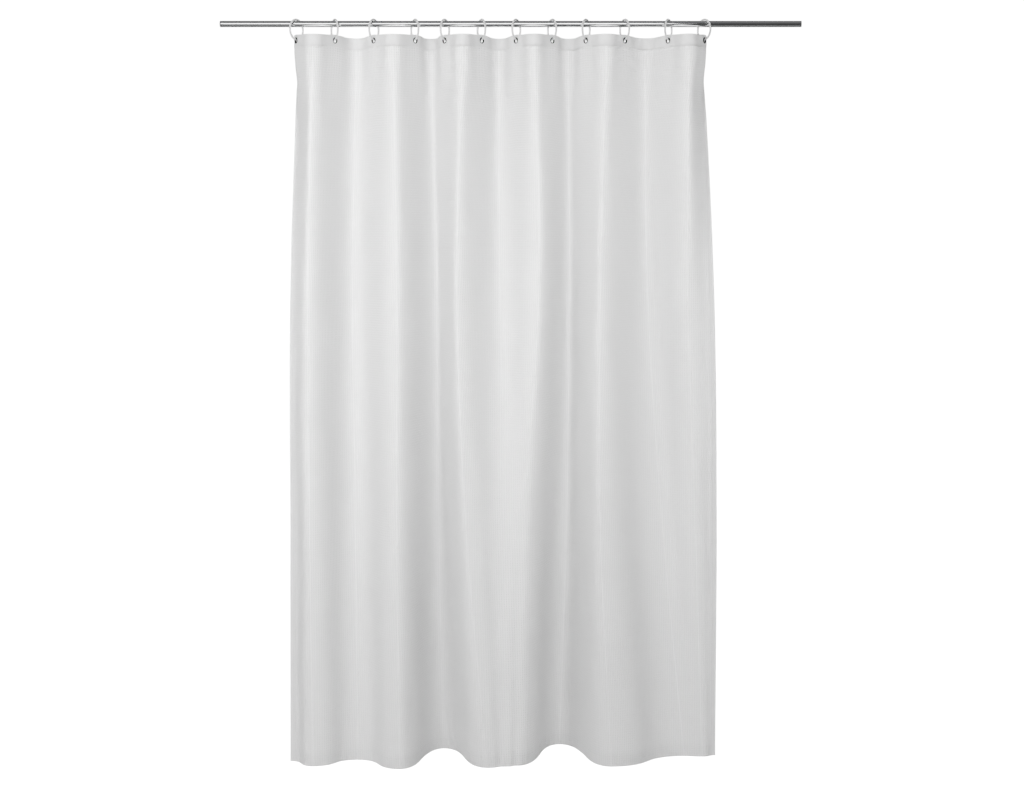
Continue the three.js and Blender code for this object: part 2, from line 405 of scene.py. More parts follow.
def grey(value: float, warmth: float = 0.0) -> tuple:
    """A near-neutral colour; warmth adds red and takes blue away."""
    return (value + warmth, value, value - warmth, 1.0)


@dataclass(frozen=True)
class Steel:
    """Bright drawn steel: faint lines along the tube, and a few dull patches from handling.

    The lines show in the roughness alone, the patches in the colour as well. The tint turns the grey blue.
    """

    light: float = 0.62
    dark: float = 0.54
    tint: float = -0.004
    roughness: float = 0.1
    smoother: float = 0.03
    duller: float = 0.05
    line_share: float = 0.1
    line_scale: tuple = (4.0, 900.0, 900.0)
    patch_scale: tuple = (9.0, 40.0, 40.0)

    def material(self) -> bpy.types.Material:
        """Makes the material."""
        nodes = Nodes("steel")
        place = nodes.add("ShaderNodeTexCoord").outputs["Object"]
        lines = nodes.noise(nodes.stretched(place, self.line_scale), 1.0)
        patches = nodes.noise(nodes.stretched(place, self.patch_scale), 1.0, 4.0)
        colour = nodes.blend(patches, grey(self.dark, self.tint), grey(self.light, self.tint))
        low, high = self.roughness - self.smoother, self.roughness + self.duller
        rough = nodes.band(patches, 0.3, 0.8, low, high)
        lined = nodes.band(lines, 0.3, 0.7, 1.0 - self.line_share, 1.0 + self.line_share)
        rough = nodes.sum("MULTIPLY", rough, lined)
        return nodes.finish({"Base Color": colour, "Metallic": 1.0, "Roughness": rough})


@dataclass(frozen=True)
class Plastic:
    """Moulded plastic with a faint orange-peel surface and slightly uneven colour."""

    name: str
    light: float
    dark: float
    roughness: float
    coat: float = 0.0
    cloud_scale: float = 60.0
    peel_scale: float = 900.0
    peel_relief: float = 0.05 * MM
    smoother: float = 0.04
    duller: float = 0.06

    def material(self) -> bpy.types.Material:
        """Makes the material."""
        nodes = Nodes(self.name)
        place = nodes.add("ShaderNodeTexCoord").outputs["Object"]
        cloud = nodes.noise(place, self.cloud_scale, 3.0)
        peel = nodes.noise(place, self.peel_scale)
        low, high = self.roughness - self.smoother, self.roughness + self.duller
        return nodes.finish({
            "Base Color": nodes.blend(cloud, grey(self.dark), grey(self.light)),
            "Roughness": nodes.band(cloud, 0.3, 0.7, low, high),
            "Normal": nodes.bump(peel, self.peel_relief),
            "Coat Weight": self.coat,
        })


@dataclass(frozen=True)
class Grommet:
    """Plated metal, dark grey, with fine wear that shows brighter in small random patches."""

    light: float = 0.28
    dark: float = 0.09
    roughness_bare: float = 0.38
    roughness_worn: float = 0.24
    wear_scale: float = 350.0
    scratch_scale: tuple = (300.0, 300.0, 2500.0)
    scratch_relief: float = 0.03 * MM

    def material(self) -> bpy.types.Material:
        """Makes the material."""
        nodes = Nodes("plated_metal")
        place = nodes.add("ShaderNodeTexCoord").outputs["Object"]
        wear = nodes.band(nodes.noise(place, self.wear_scale, 5.0), 0.4, 0.75, 0.0, 1.0)
        scratch = nodes.noise(nodes.stretched(place, self.scratch_scale), 1.0)
        return nodes.finish({
            "Base Color": nodes.blend(wear, grey(self.dark), grey(self.light)),
            "Metallic": 1.0,
            "Roughness": nodes.band(wear, 0.0, 1.0, self.roughness_bare, self.roughness_worn),
            "Normal": nodes.bump(scratch, self.scratch_relief),
        })


class Weave(Enum):
    """The two cloths of the curtain."""

    WAFFLE = "waffle"
    PLAIN = "plain"


@dataclass(frozen=True)
class Cloth:
    """White woven cloth.

    The waffle is a grid of square cells. A cell's height is the larger of two ramps that rise from its middle
    to its sides, so its threads stand up in a grid of ridges round small pits. The ridges that run across are
    lower than the others, by level_share. The colour is painted darker in the pits and between the threads,
    as painted shade, and whiter along a pressed crease, as a painted highlight. The plain cloth has the
    thread bumps and their painted shade alone.
    """

    weave: Weave
    white: float = 0.88
    cell: float = 6.0 * MM
    ramp_power: float = 1.6
    pit: float = 0.9 * MM
    pit_painted_shade: float = 0.9
    level_share: float = 0.7
    uneven_scale: tuple = (160.0, 160.0, 1.0)
    thread: float = 0.75 * MM
    thread_relief: float = 0.12 * MM
    thread_painted_shade: float = 0.975
    cloud_scale: tuple = (5.0, 2.5, 1.0)
    cloud_shade: float = 0.97
    roughness: float = 0.62
    crease_painted_highlight: float = 1.0
    crease_relief: float = 0.3 * MM
    line_half_width: float = 2.2 * MM
    patchy_scale: tuple = (30.0, 9.0, 1.0)
    glow: float = 0.6
    glow_depth: float = 4.0 * MM

    def ramp(self, nodes: Nodes, place: Socket) -> Socket:
        """The distance from a cell's middle to its sides, from 0 to 1, raised to a power."""
        share = nodes.sum("FRACT", nodes.sum("DIVIDE", place, self.cell))
        side = nodes.sum("ABSOLUTE", nodes.sum("MULTIPLY_ADD", share, 2.0, -1.0))
        return nodes.sum("POWER", side, self.ramp_power)

    def threads(self, nodes: Nodes, across: Socket, down: Socket) -> Socket:
        """Over-and-under threads: the product of two waves, one along each direction of the cloth."""
        turn = math.pi / self.thread
        wave = [nodes.sum("SINE", nodes.sum("MULTIPLY", way, turn)) for way in (across, down)]
        return nodes.sum("MULTIPLY_ADD", nodes.sum("MULTIPLY", wave[0], wave[1]), 0.5, 0.5)

    def crease(self, nodes: Nodes, place: Socket, level: Socket) -> Socket:
        """How much a pressed crease shows, in its relief and in the painted highlight along it.

        Args:
            nodes: the material's tree.
            place: the place on the flat cloth.
            level: the ramp of the cells down the cloth, which breaks the crease up into dots.

        Returns:
            From 0 to 1.
        """
        away = nodes.add("ShaderNodeAttribute", attribute_name="line_distance").outputs["Fac"]
        press = nodes.add("ShaderNodeAttribute", attribute_name="line_press").outputs["Fac"]
        near = nodes.band(nodes.sum("ABSOLUTE", away), 0.0, self.line_half_width, 1.0, 0.0)
        patches = nodes.noise(nodes.stretched(place, self.patchy_scale), 1.0, 3.0)
        patchy = nodes.band(patches, 0.35, 0.6, 0.35, 1.0)
        dots = nodes.band(level, 0.0, 1.0, 0.5, 1.0)
        # The mask sets the crease's relief and a painted highlight along the crest, broken into patches and
        # into dots on the cell ridges.
        pressed = nodes.sum("MULTIPLY", near, press)
        return nodes.sum("MULTIPLY", pressed, nodes.sum("MULTIPLY", patchy, dots))

    def material(self) -> bpy.types.Material:
        """Makes the material."""
        nodes = Nodes(f"{self.weave.value}_cloth")
        place = nodes.add("ShaderNodeUVMap", uv_map="flat_cloth").outputs[0]
        split = nodes.add("ShaderNodeSeparateXYZ", {0: place})
        across, down = split.outputs[0], split.outputs[1]
        threads = self.threads(nodes, across, down)
        normal = nodes.bump(threads, self.thread_relief)
        cloud = nodes.noise(nodes.stretched(place, self.cloud_scale), 1.0, 4.0)
        shade = nodes.band(cloud, 0.25, 0.75, self.cloud_shade, 1.0)
        # The low parts of the threads are painted darker: painted shade between the threads.
        shade = nodes.sum("MULTIPLY", shade, nodes.band(threads, 0.0, 1.0, self.thread_painted_shade, 1.0))
        line = None
        if self.weave is Weave.WAFFLE:
            level = self.ramp(nodes, down)
            lower = nodes.sum("MULTIPLY", level, self.level_share)
            ridge = nodes.sum("MAXIMUM", self.ramp(nodes, across), lower)
            uneven = nodes.noise(nodes.stretched(place, self.uneven_scale), 1.0, 2.0)
            height = nodes.sum("MULTIPLY", ridge, nodes.band(uneven, 0.2, 0.8, 0.8, 1.1))
            normal = nodes.bump(height, self.pit, normal)
            # The pits are painted darker than the ridges: painted shade in the hollows of the waffle.
            shade = nodes.sum("MULTIPLY", shade, nodes.band(ridge, 0.0, 0.8, self.pit_painted_shade, 1.0))
            line = self.crease(nodes, place, level)
            normal = nodes.bump(line, self.crease_relief, normal)
        colour = nodes.blend(shade, grey(0.0), grey(self.white))
        if line is not None:
            # Along the crease the colour is painted whiter: a painted highlight on the crest.
            colour = nodes.blend(line, colour, grey(self.crease_painted_highlight))
        return nodes.finish({
            "Base Color": colour,
            "Roughness": self.roughness,
            "Normal": normal,
            "Sheen Weight": 0.1,
            "Sheen Roughness": 0.5,
            "Specular IOR Level": 0.35,
            "Subsurface Weight": self.glow,
            "Subsurface Radius": (1.0, 1.0, 1.0),
            "Subsurface Scale": self.glow_depth,
        })


@dataclass(frozen=True)
class Thread:
    """White sewing thread, twisted, with painted shade in the hollows of its twist."""

    white: float = 0.8
    hollow_painted_shade: float = 0.85
    twist_scale: float = 2500.0
    twist_relief: float = 0.05 * MM

    def material(self) -> bpy.types.Material:
        """Makes the material."""
        nodes = Nodes("sewing_thread")
        place = nodes.add("ShaderNodeTexCoord").outputs["Object"]
        twist = nodes.noise(place, self.twist_scale, 1.0)
        return nodes.finish({
            # The hollows of the twist are painted darker: painted shade.
            "Base Color": nodes.blend(twist, grey(self.white * self.hollow_painted_shade), grey(self.white)),
            "Roughness": 0.5,
            "Normal": nodes.bump(twist, self.twist_relief),
        })


def dress(piece: bpy.types.Object, material: bpy.types.Material, body: str) -> bpy.types.Object:
    """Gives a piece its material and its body.

    Args:
        piece: the piece.
        material: its finish.
        body: the CAD body that it moves with.

    Returns:
        The piece.
    """
    piece.data.materials.append(material)
    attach(piece, body)
    log.info("%s: %d faces, on %s", piece.name, len(piece.data.polygons), body)
    return piece


# ---------------------------------------------------------------- rod


@dataclass
class Rod:
    """A slim steel tube with a plug in each end."""

    wall: float = 1.0 * MM
    edge: float = 0.25 * MM
    sides: int = 96
    plug_round: float = 1.1 * MM
    plug_dome: float = 0.25 * MM
    spigot_gap: float = 0.3 * MM
    steel: Steel = field(default_factory=Steel)
    plug_finish: Plastic = field(default_factory=lambda: Plastic("plug_plastic", 0.3, 0.24, 0.4))

    def build(self) -> list:
        """Builds the tube and both plugs.

        Returns:
            The three pieces.
        """
        axis = np.array([1.0, 0.0, 0.0])
        low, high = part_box("rod_tube")
        centre = middle_of("rod_tube")
        half, radius = (high[0] - low[0]) / 2.0, (high[2] - low[2]) / 2.0
        bore, e = radius - self.wall, self.edge
        outline = np.concatenate([
            arc((radius - e, e - half), e, -90.0, 0.0, 4),
            arc((radius - e, half - e), e, 0.0, 90.0, 4),
            arc((bore + e, half - e), e, 90.0, 180.0, 4),
            arc((bore + e, e - half), e, 180.0, 270.0, 4),
        ])
        tube = turned_ring(outline, self.sides, centre, axis).build("rod_tube_smooth")
        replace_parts(tube, "rod_tube")
        dress(tube, self.steel.material(), "rod")
        finish = self.plug_finish.material()
        plugs = [self.build_plug(side, radius, bore - self.spigot_gap) for side in ("left", "right")]
        return [tube] + [dress(plug, finish, "rod") for plug in plugs]

    def build_plug(self, side: str, radius: float, spigot: float) -> bpy.types.Object:
        """Builds one plug: a spigot inside the tube, and a slightly domed head with a round rim.

        Args:
            side: left or right.
            radius: of the head.
            spigot: radius of the part inside the tube.

        Returns:
            The plug.
        """
        node = f"rod_plug_{side}"
        low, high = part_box(node)
        out = 1.0 if side == "right" else -1.0
        centre = middle_of(node)
        centre[0] = 0.0
        near, far = sorted((abs(low[0]), abs(high[0])))
        tube_end = abs(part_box("rod_tube")[1][0]) + self.spigot_gap
        r, dome = self.plug_round, self.plug_dome
        profile = np.concatenate([
            [[0.0, near], [spigot - 0.6 * MM, near], [spigot, near + 0.6 * MM], [spigot, tube_end]],
            [[radius - 0.2 * MM, tube_end], [radius, tube_end + 0.2 * MM]],
            arc((radius - r, far - dome - r), r, 0.0, 80.0, 8),
            [[radius * 0.6, far - 0.1 * MM], [radius * 0.3, far - 0.02 * MM], [0.0, far]],
        ])
        axis = np.array([out, 0.0, 0.0])
        plug = turned_solid(profile, self.sides, centre, axis).build(f"{node}_smooth")
        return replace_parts(plug, node)


# ---------------------------------------------------------------- rings and eyelets


@dataclass
class Ring:
    """A closed ring of round plastic wire, turned a little about its own upright diameter.

    Neighbours turn opposite ways, and the first and the last ring turn further than the others.
    """

    number: int
    wire: float = 2.5 * MM
    yaw: float = math.radians(24.0)
    end_yaw: float = math.radians(34.0)
    steps: int = 120
    wire_sides: int = 28
    flash: float = 0.09 * MM
    flash_width: float = 0.16

    @property
    def label(self) -> str:
        """The number with two digits."""
        return f"{self.number:02d}"

    def build(self, material: bpy.types.Material) -> bpy.types.Object:
        """Builds the ring.

        The wire's middle is a circle. The wire's own radius grows by a small rounded ridge on the inside and
        the outside of the ring, where the two halves of its mould met.

        Args:
            material: the ring's finish.

        Returns:
            The ring.
        """
        node = f"ring_{self.label}"
        low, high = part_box(node)
        centre = middle_of(node)
        radius = (high[2] - low[2]) / 2.0 - self.wire
        turn = self.end_yaw if self.number in (1, RING_COUNT) else self.yaw
        yaw = -turn if self.number % 2 else turn
        side = np.array([-math.sin(yaw), math.cos(yaw), 0.0])
        up = np.array([0.0, 0.0, 1.0])
        axle = np.cross(side, up)
        along = np.arange(self.steps) * (2.0 * np.pi / self.steps)
        across = np.arange(self.wire_sides) * (2.0 * np.pi / self.wire_sides)
        out = np.cos(along)[:, None] * side + np.sin(along)[:, None] * up
        wire = self.wire - self.flash + self.flash * bell(np.sin(across), self.flash_width)
        points = (
            centre
            + (radius + (wire * np.cos(across))[None, :, None]) * out[:, None, :]
            + (wire * np.sin(across))[None, :, None] * axle
        )
        faces = grid_faces(self.steps, self.wire_sides, True, True).tolist()
        ring = Shell(points, faces).build(f"{node}_smooth")
        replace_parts(ring, node)
        return dress(ring, material, node)


@dataclass
class Eyelet:
    """A two-piece eyelet: a rounded flange with a barrel in front, and a dished washer behind."""

    number: int
    hole: float = 5.0 * MM
    barrel: float = 5.5 * MM
    washer_hole: float = 5.8 * MM
    rim: float = 7.5 * MM
    face: float = 1.1 * MM
    back: float = 1.9 * MM
    crown_power: float = 0.7
    sides: int = 64

    def flange(self, inner: float, start: float, end: float) -> Array:
        """The rounded section of a flange, half of a flat oval from its rim inwards.

        Args:
            inner: the radius where it stops.
            start: height of its flat side.
            end: height of its crown.

        Returns:
            Profile points from the rim to the inner radius.
        """
        turn = np.radians(np.linspace(0.0, 180.0, 15))
        half = (self.rim - inner) / 2.0
        radius = inner + half + half * np.cos(turn)
        height = start + (end - start) * np.sin(turn) ** self.crown_power
        return np.stack([radius, height], axis=-1)

    def build(self, axis: Array, material: bpy.types.Material) -> list:
        """Builds both pieces.

        Args:
            axis: square to the cloth, pointing to the room.
            material: the eyelet's finish.

        Returns:
            The front piece and the washer.
        """
        label = f"{self.number:02d}"
        body = f"ring_{label}"
        centre = middle_of(f"eyelet_front_{label}")
        front = np.concatenate([
            [[self.hole, self.face], [self.hole, -self.back], [self.barrel + 0.15 * MM, -self.back]],
            [[self.barrel, 0.4 * MM - self.back], [self.barrel, self.face]],
            self.flange(self.hole, self.face, self.back)[:-1],
        ])
        back = np.concatenate([
            [[self.washer_hole, -self.face]],
            self.flange(self.washer_hole, -self.face, -self.back)[::-1][1:],
        ])
        pieces = []
        for word, profile in (("front", front), ("washer", back)):
            node = f"eyelet_{word}_{label}"
            piece = turned_ring(profile, self.sides, centre, axis).build(f"{node}_smooth")
            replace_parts(piece, node)
            pieces.append(dress(piece, material, body))
        return pieces


# ---------------------------------------------------------------- the folds


@dataclass(frozen=True)
class Fold:
    """Where one fold runs: its crest's place in plan, (along the rod, away from the room), at three depths.

    The depths are the last three stations of Folds. The crest's place at the header comes from the pleats.
    Press is how sharply the crest is creased at each of the four stations; it scales the crease's relief and
    the painted highlight along it.
    """

    middle: tuple
    low: tuple
    hem: tuple
    press: tuple = (1.0, 1.0, 1.0, 1.0)


@dataclass(frozen=True)
class Wave:
    """A plain wave over the flat cloth: its height, its lengths across and down, and where it starts."""

    height: float
    across: float
    down: float
    start: float

    def at(self, across: Array, down: Array) -> Array:
        """Heights of the wave."""
        return self.height * np.sin(2 * np.pi * (across / self.across + down / self.down) + self.start)


@dataclass
class Folds:
    """The cloth's surface: where each point of the flat cloth hangs.

    A point of the flat cloth is (across, down), in metres from its top left corner. A phase counts the folds:
    0 is the left edge, 1 to 11 are the crests and 12 is the right edge. Slopes are in radians. Stations and
    settle are shares of the height: the depths where the folds are given, and where the pleats of the header
    begin to fade into the folds and have done so. Crest_top and crest_hem say how tight the crests are.
    """

    eyelets: Array
    top: float
    width: float = 1778.0 * MM
    height: float = 1829.0 * MM
    margin: float = 50.8 * MM
    eyelet_flat: float = 9.0 * MM
    margin_bend: float = 15.0 * MM
    margin_turn: float = 0.75
    slope: float = 0.8
    end_slope: float = 1.0
    end_reach: float = 0.15
    settle: tuple = (0.018, 0.12)
    stations: tuple = (0.0, 0.37, 0.66, 1.0)
    crest_top: float = 1.3
    crest_hem: float = 0.8
    lead: float = 0.07
    sag: float = 4.0 * MM
    sag_reach: float = 0.25
    folds: tuple = (
        Fold((-0.554, -0.012), (-0.556, -0.026), (-0.559, -0.042), (0.0, 0.0, 0.0, 0.0)),
        Fold((-0.504, -0.065), (-0.502, -0.078), (-0.496, -0.093)),
        Fold((-0.402, 0.040), (-0.395, 0.005), (-0.389, -0.032)),
        Fold((-0.282, -0.075), (-0.283, -0.096), (-0.277, -0.120)),
        Fold((-0.188, 0.062), (-0.186, 0.070), (-0.174, 0.080), (0.3, 0.3, 0.3, 0.3)),
        Fold((-0.133, -0.075), (-0.112, -0.095), (-0.059, -0.110)),
        Fold((-0.027, 0.010), (-0.012, -0.060), (-0.010, -0.097), (1.0, 1.0, 0.0, 0.0)),
        Fold((0.069, -0.060), (0.034, -0.066), (0.018, -0.088), (1.0, 1.0, 0.0, 0.0)),
        Fold((0.150, 0.074), (0.145, 0.098), (0.127, 0.120)),
        Fold((0.222, -0.070), (0.223, -0.083), (0.252, -0.097)),
        Fold((0.349, 0.045), (0.385, 0.026), (0.444, 0.004)),
        Fold((0.443, -0.035), (0.466, -0.012), (0.490, 0.000)),
        Fold((0.512, -0.012), (0.523, 0.004), (0.525, 0.014), (0.0, 0.0, 0.0, 0.0)),
    )
    waves: tuple = (
        Wave(0.9, 0.61, 0.83, 0.4),
        Wave(0.7, 0.37, -0.47, 2.1),
        Wave(0.45, 0.173, 0.29, 4.0),
        Wave(0.3, 0.119, -0.171, 1.3),
    )
    halvings: int = 40
    table_step: float = 1.0 * MM
    table_rows: int = 260

    def __post_init__(self) -> None:
        """Works out the table of places that the pieces of the cloth are read from."""
        self.pitch = (self.width - 2.0 * self.margin) / (len(self.eyelets) - 1)
        self.table_across = np.arange(round(self.width / self.table_step) + 1) * self.table_step
        self.table_down = np.linspace(0.0, self.height, self.table_rows)
        self.table, self.crest_lines = self.lay_table()
        way = np.gradient(self.table, self.table_step, axis=1)
        way /= np.linalg.norm(way, axis=-1, keepdims=True)
        self.table_out = np.stack([way[..., 1], -way[..., 0]], axis=-1)

    def pleat_angle(self, pleat: Array, swing: Array, share: Array) -> Array:
        """The cloth's angle to the rod in a pleat.

        It is the given slope at both eyelets, level at the crest, and steepest in between: swing times the
        cosine of half a turn, and the rest of the slope times the cosine of three halves. Beside the first
        and the last eyelet it is steeper by a bell of the distance from that eyelet.

        Args:
            pleat: the pleat's number, from 0.
            swing: how far the angle swings.
            share: how far along the pleat, from 0 to 1.

        Returns:
            The angle, in radians.
        """
        extra = self.end_slope - self.slope
        last = len(self.eyelets) - 2
        start = np.where(pleat == 0, extra * bell(share, self.end_reach), 0.0)
        end = np.where(pleat == last, extra * bell(1.0 - share, self.end_reach), 0.0)
        rest = self.slope - swing
        return swing * np.cos(np.pi * share) + rest * np.cos(3.0 * np.pi * share) + start - end

    def swings(self) -> Array:
        """The swing that makes each pleat span its two eyelets, found by halving."""
        span = np.diff(self.eyelets)
        pleat = np.arange(len(span))[:, None]
        samples = 400
        share = (np.arange(samples) + 0.5) / samples
        low, high = np.full(len(span), 0.8), np.full(len(span), 2.0)
        for _ in range(self.halvings):
            middle = (low + high) / 2.0
            angle = self.pleat_angle(pleat, middle[:, None], share[None, :])
            reached = np.cos(angle).mean(axis=1) * self.pitch
            low, high = np.where(reached > span, middle, low), np.where(reached > span, high, middle)
        return (low + high) / 2.0

    def header_plan(self, across: Array) -> Array:
        """The header's plan.

        The angle of the cloth is added up along it, and each pleat is tilted so that it ends on the rod's
        line. Pleats stand out to the room and away from it in turn, and beyond the first and last eyelets
        the margins turn back.

        Args:
            across: rising lengths along the cloth.

        Returns:
            The plan's points, shape (n, 2).
        """
        step = 0.25 * MM
        s = (np.arange(round(self.width / step)) + 0.5) * step
        pleat = np.clip(((s - self.margin) // self.pitch).astype(int), 0, len(self.eyelets) - 2)
        share = (s - self.margin - pleat * self.pitch) / self.pitch
        side = np.where(pleat % 2 == 0, -1.0, 1.0)
        angle = side * self.pleat_angle(pleat, self.swings()[pleat], share)
        past = np.maximum(self.margin - s, s - (self.width - self.margin)) - self.eyelet_flat
        past = np.clip(past / self.margin_bend, 0.0, 1.0)
        back = self.end_slope + self.margin_turn * np.sin(np.pi / 2.0 * past)
        angle = np.where(s < self.margin, -back, np.where(s > self.width - self.margin, back, angle))
        x = running_total(np.cos(angle) * step)
        y = running_total(np.sin(angle) * step)
        marks = np.arange(len(x)) * step
        hung = self.margin + np.arange(len(self.eyelets)) * self.pitch
        x += self.eyelets[0] - np.interp(self.margin, marks, x)
        y -= np.interp(marks, hung, np.interp(hung, marks, y))
        return np.stack([np.interp(across, marks, x), np.interp(across, marks, y)], axis=-1)

    def eyelet_axis(self, number: int) -> Array:
        """The direction square to the flat stretch of cloth at an eyelet, pointing to the room."""
        at = self.margin + (number - 1) * self.pitch
        ends = self.header_plan(np.array([at - self.eyelet_flat, at + self.eyelet_flat]))
        way = (ends[1] - ends[0]) / np.linalg.norm(ends[1] - ends[0])
        return np.array([way[1], -way[0], 0.0])

    def across_at(self, phase: Array) -> Array:
        """The length along the header at a phase: eyelets lie half-way between crests."""
        last = len(self.eyelets)
        marks = np.concatenate([[0.0], np.arange(last) + 0.5, [float(last)]])
        lengths = np.concatenate([[0.0], self.margin + np.arange(last) * self.pitch, [self.width]])
        return np.interp(phase, marks, lengths)

    def lay_table(self) -> tuple:
        """Lays the cloth in its folds, row by row.

        Between two crests, y goes from one to the other by a share whose slope is the hyperbolic tangent of
        K times a sine, so a large K gives straight sides and tight crests, and a small K a round wave. X runs
        a little ahead near the crests. The header's plan fades into that plan just below the header. Each
        row's depth is then set so that the cloth keeps its width, and its points are spread by length.

        Returns:
            The places in plan, shape (rows, columns, 2), and each crest's length across at each row.
        """
        down = self.table_down / self.height
        parts = 64
        phase = np.arange((len(self.folds) - 1) * parts + 1) / parts
        header = self.header_plan(self.across_at(phase))
        knots = np.array([[fold.middle, fold.low, fold.hem] for fold in self.folds])
        knots = np.concatenate([header[::parts, None, :], knots], axis=1)
        knots = smooth_through(np.array(self.stations), np.moveaxis(knots, 2, 1), down)

        v = (np.arange(parts) + 0.5) / parts
        sharp = self.crest_top + (self.crest_hem - self.crest_top) * ease(down / 0.9)
        rise = running_total(np.tanh(sharp[:, None] * np.sin(np.pi * v)))
        rise /= rise[:, -1:]
        v = np.arange(parts + 1) / parts
        ahead = v + self.lead * down[:, None] * np.sin(2.0 * np.pi * v)
        shares = (ahead, rise)
        plan = []
        for axis, share in enumerate(shares):
            start, end = knots[:-1, axis, :].T, knots[1:, axis, :].T
            values = start[:, :, None] + (end - start)[:, :, None] * share[:, None, :-1]
            plan.append(np.concatenate([values.reshape(len(down), -1), knots[-1:, axis, :].T], axis=1))
        plan = np.stack(plan, axis=-1)
        weight = ease((down - self.settle[0]) / (self.settle[1] - self.settle[0]))[:, None, None]
        plan = header + (plan - header) * weight

        low, high = np.full(len(down), 0.5), np.full(len(down), 2.0)
        run = np.diff(plan, axis=1)
        for _ in range(self.halvings):
            depth = (low + high) / 2.0
            length = np.hypot(run[..., 0], run[..., 1] * depth[:, None]).sum(axis=1)
            low, high = np.where(length < self.width, depth, low), np.where(length < self.width, high, depth)
        depth = (low + high) / 2.0
        log.info("fold depth is set by %.3f to %.3f", depth.min(), depth.max())
        plan[..., 1] *= depth[:, None]

        length = running_total(np.hypot(*np.moveaxis(np.diff(plan, axis=1), 2, 0)))
        length *= self.width / length[:, -1:]
        rows = [
            np.stack([np.interp(self.table_across, lengths, row[:, axis]) for axis in (0, 1)], axis=-1)
            for lengths, row in zip(length, plan)
        ]
        return np.stack(rows), length[:, ::parts]

    def read(self, table: Array, across: Array, down: Array) -> Array:
        """Reads a table at points of the flat cloth, straight between its entries.

        Args:
            table: shape (rows, columns, n).
            across: lengths across.
            down: lengths down, in the same shape.

        Returns:
            The values, with n last.
        """
        r = np.clip(down / self.height, 0.0, 1.0) * (self.table_rows - 1)
        c = np.clip(across / self.table_step, 0.0, len(self.table_across) - 1.0)
        r0 = np.minimum(r.astype(int), self.table_rows - 2)
        c0 = np.minimum(c.astype(int), len(self.table_across) - 2)
        fr, fc = (r - r0)[..., None], (c - c0)[..., None]
        upper = table[r0, c0] * (1.0 - fc) + table[r0, c0 + 1] * fc
        lower = table[r0 + 1, c0] * (1.0 - fc) + table[r0 + 1, c0 + 1] * fc
        return upper * (1.0 - fr) + lower * fr

    def bowl(self, across: Array) -> Array:
        """A parabola between each two eyelets, zero at both and one half-way."""
        pleats = (across - self.margin) / self.pitch
        share = pleats - np.floor(pleats)
        return 4.0 * share * (1.0 - share)

    def droop(self, across: Array, down: Array) -> Array:
        """How far the cloth hangs below straight rows: a parabola between eyelets, fading downwards."""
        pleats = (across - self.margin) / self.pitch
        between = self.bowl(across)
        outside = np.clip(np.maximum(-pleats, pleats - (len(self.eyelets) - 1)), 0.0, 1.0)
        dip = np.where(outside > 0.0, 3.0 * outside, between)
        return self.sag * dip * np.exp(-down / self.sag_reach)

    def ripple(self, across: Array, down: Array) -> Array:
        """Small relief square to the cloth.

        It adds slow waves over the whole cloth, swags that hang below each stretch of header, puckers along
        the hem and the side hems, and a few level creases near the right edge. Each term is in millimetres.

        Args:
            across: lengths across.
            down: lengths down, in the same shape.

        Returns:
            Heights towards the room.
        """
        slow = sum(wave.at(across, down) for wave in self.waves) * ease((down - 0.03) / 0.15)
        swag = 1.1 * self.swags(across, down)
        hem = 0.35 * self.hem_puckers(across, down)
        side = 0.4 * self.side_puckers(across, down) * ease(down / 0.1)
        level = 1.2 * self.level_creases(across, down)
        return MM * (slow + swag + hem + side + level)

    def swags(self, across: Array, down: Array) -> Array:
        """Curved waves that hang between the eyelets, 34 mm from one to the next, just below the header."""
        bowl = self.bowl(across)
        return np.sin(2 * np.pi * (down - 0.02 * bowl) / 0.034) * bowl * bell(down - 0.055, 0.035)

    def hem_puckers(self, across: Array, down: Array) -> Array:
        """Puckers about 21 mm apart along the hem's stitches, with an uneven pace."""
        pace = 3.0 * np.sin(across * 9.0)
        return np.sin(2 * np.pi * across / 0.021 + pace) * bell(down - self.height + 0.028, 0.02)

    def side_puckers(self, across: Array, down: Array) -> Array:
        """Puckers about 26 mm apart along both side hems, with an uneven pace."""
        edge = np.minimum(across, self.width - across)
        pace = 2.0 * np.sin(down * 7.0)
        return np.sin(2 * np.pi * down / 0.026 + pace) * bell(edge - 0.012, 0.012)

    def level_creases(self, across: Array, down: Array) -> Array:
        """Slanting creases about 71 mm apart, in the last 140 mm before the right edge."""
        near = ease((across - self.width + 0.14) / 0.1) * bell(down - 1.12, 0.2)
        pace = 0.8 * np.sin(down * 31.0)
        return near * np.sin(2 * np.pi * (down + 0.25 * (across - 1.7)) / 0.071 + pace)

    def place(self, across: Array, down: Array, lift: Array) -> Array:
        """Where points of the cloth hang.

        Args:
            across: lengths across.
            down: lengths down.
            lift: heights above the cloth's middle, towards the room.

        Returns:
            Places, shape (..., 3).
        """
        across, down, lift = np.broadcast_arrays(across, down, lift)
        plan = self.read(self.table, across, down)
        out = self.out(across, down)
        plan = plan + out * (lift + self.ripple(across, down))[..., None]
        z = self.top - down - self.droop(across, down)
        return np.concatenate([plan, z[..., None]], axis=-1)

    def out(self, across: Array, down: Array) -> Array:
        """The direction in plan that is square to the cloth, towards the room, of length one."""
        out = self.read(self.table_out, across, down)
        return out / np.linalg.norm(out, axis=-1, keepdims=True)

    def lines(self, across: Array, down: Array) -> tuple:
        """The signed length to the nearest crest's line, and how sharply that crest is creased."""
        rows = [np.interp(down, self.table_down, line) for line in self.crest_lines.T]
        away = across[None, :] - np.stack(rows)[:, :, None]
        nearest = np.abs(away).argmin(axis=0)
        given = np.array([fold.press for fold in self.folds])
        press = smooth_through(np.array(self.stations), given, down / self.height)
        row, column = np.meshgrid(np.arange(len(down)), np.arange(len(across)), indexing="ij")
        return away[nearest, row, column], np.clip(press[nearest, row], 0.0, 1.0)


# ---------------------------------------------------------------- the cloth's pieces


